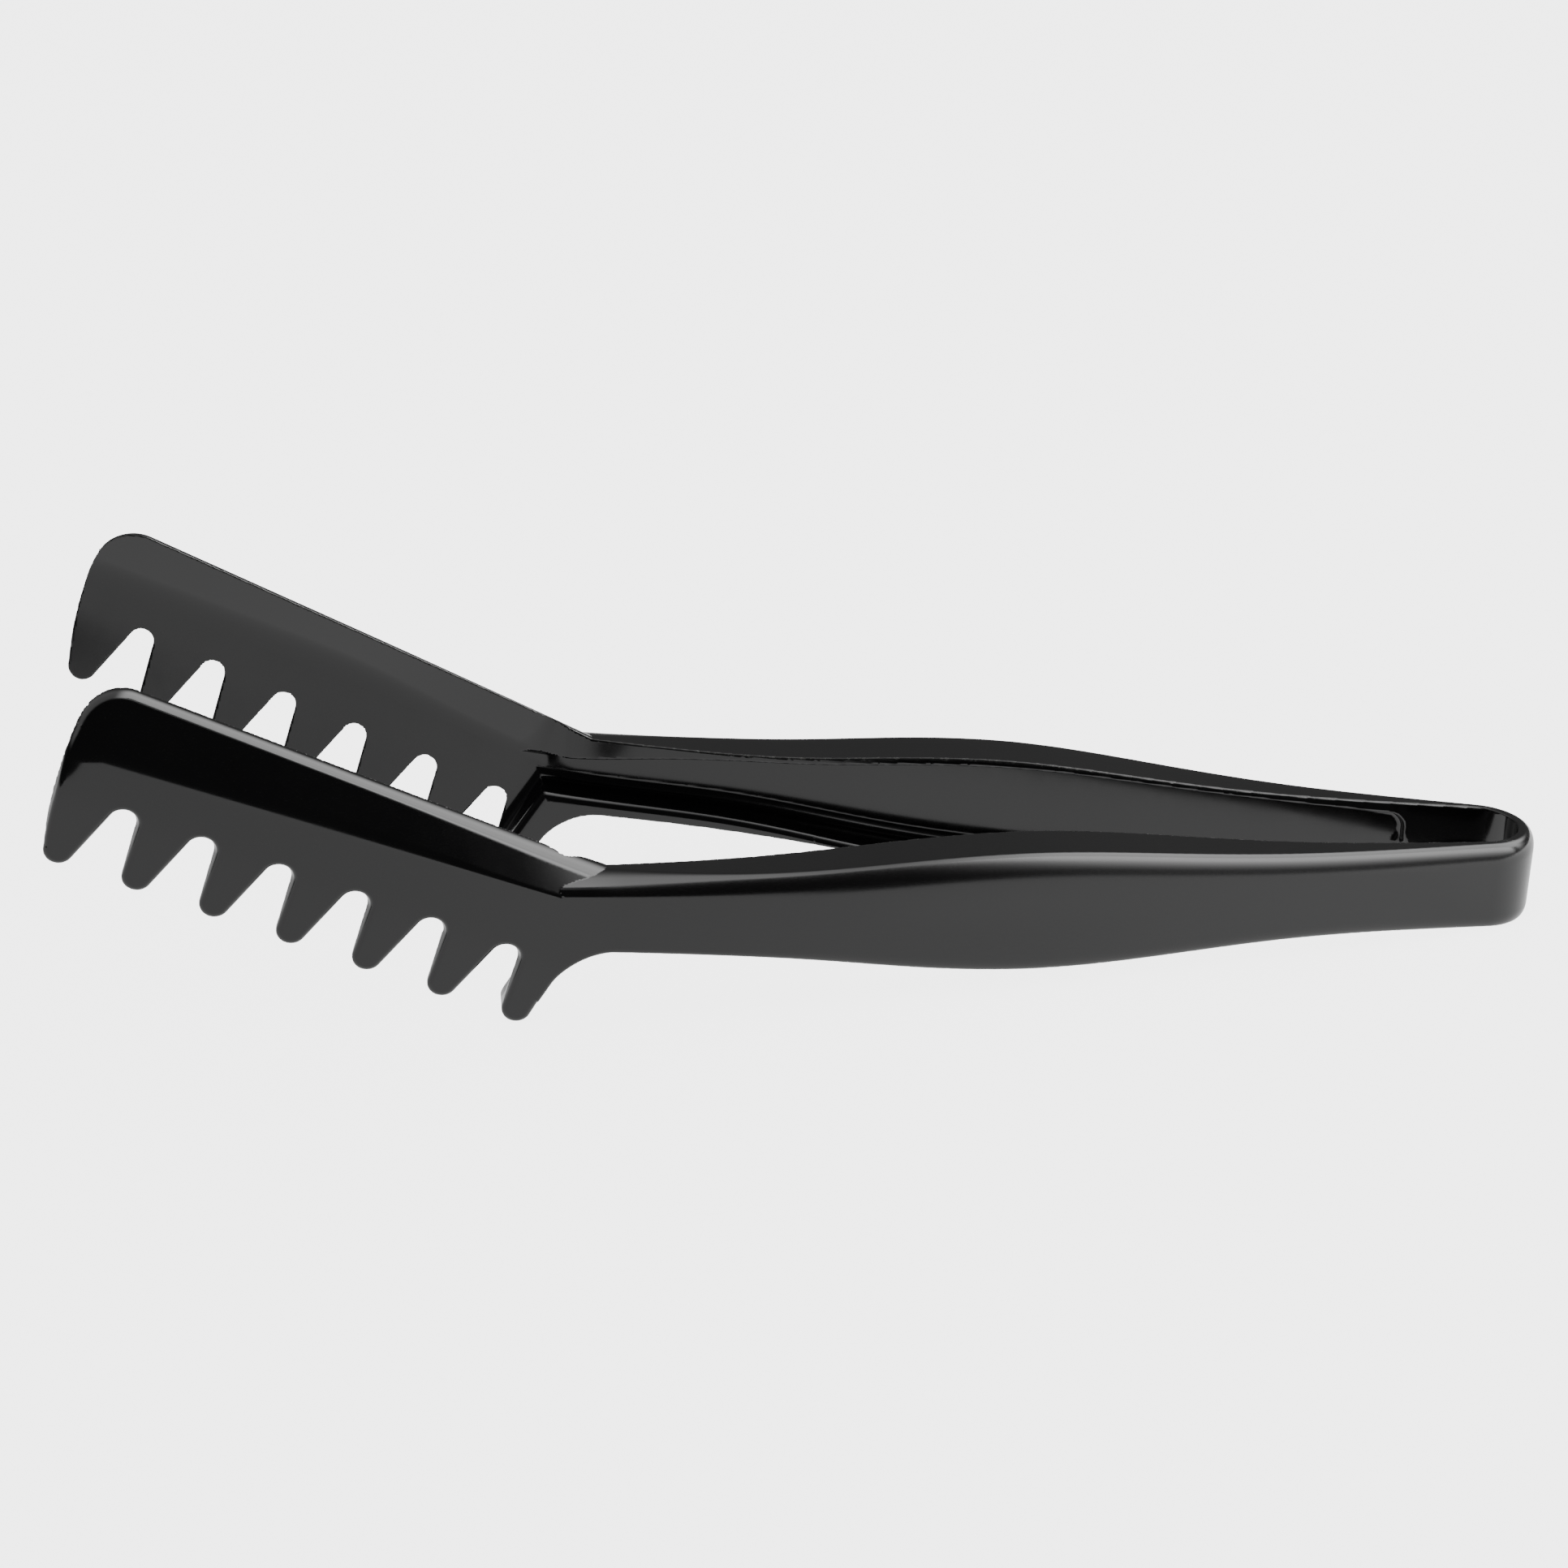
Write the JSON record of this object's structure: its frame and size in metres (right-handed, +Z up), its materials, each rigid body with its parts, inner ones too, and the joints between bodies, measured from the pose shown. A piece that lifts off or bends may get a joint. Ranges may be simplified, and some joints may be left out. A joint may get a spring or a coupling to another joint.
{
  "type": "serving tongs",
  "caption": "One-piece black plastic serving tongs with a U-shaped spring bow, hollow-backed handles and raised comb jaws with curled tops.",
  "frame": {"origin": "middle of the overall length and width, at the level of the surface that the tongs stand on", "axes": "+X from the combs to the spring bow, +Y from the front arm to the rear arm, +Z up"},
  "size_m": [0.2814, 0.0946, 0.0703],
  "materials": {
    "black_plastic": "glossy moulded black plastic, polished on the combs and slightly satin on the outside of the handles"
  },
  "bodies": {
    "spring_bow": {"spring_bow": "black_plastic"},
    "rear_arm": {"rear_bow_leg": "black_plastic", "rear_handle_web": "black_plastic", "rear_upper_flange": "black_plastic", "rear_lower_flange": "black_plastic", "rear_comb_plate": "black_plastic", "rear_tooth_1": "black_plastic", "rear_tooth_2": "black_plastic", "rear_tooth_3": "black_plastic", "rear_tooth_4": "black_plastic", "rear_tooth_5": "black_plastic", "rear_tooth_6": "black_plastic", "rear_tooth_7": "black_plastic"},
    "front_arm": {"front_bow_leg": "black_plastic", "front_handle_web": "black_plastic", "front_upper_flange": "black_plastic", "front_lower_flange": "black_plastic", "front_comb_plate": "black_plastic", "front_tooth_1": "black_plastic", "front_tooth_2": "black_plastic", "front_tooth_3": "black_plastic", "front_tooth_4": "black_plastic", "front_tooth_5": "black_plastic", "front_tooth_6": "black_plastic", "front_tooth_7": "black_plastic"}
  },
  "joints": [
    {"name": "rear_arm_flex", "type": "hinge", "parent": "spring_bow", "child": "rear_arm", "pos_m": [0.12846, 0, 0.00912], "axis": [0.0673, 0, 0.9977], "range_deg": [0, 8.3], "stiffness_Nm_per_rad": 5},
    {"name": "front_arm_flex", "type": "hinge", "parent": "spring_bow", "child": "front_arm", "pos_m": [0.12846, 0, 0.00912], "axis": [0.0673, 0, 0.9977], "range_deg": [-8.3, 0], "stiffness_Nm_per_rad": 5}
  ],
  "couplings": [
    {"joint": "front_arm_flex", "follows": "rear_arm_flex", "ratio": -1}
  ]
}
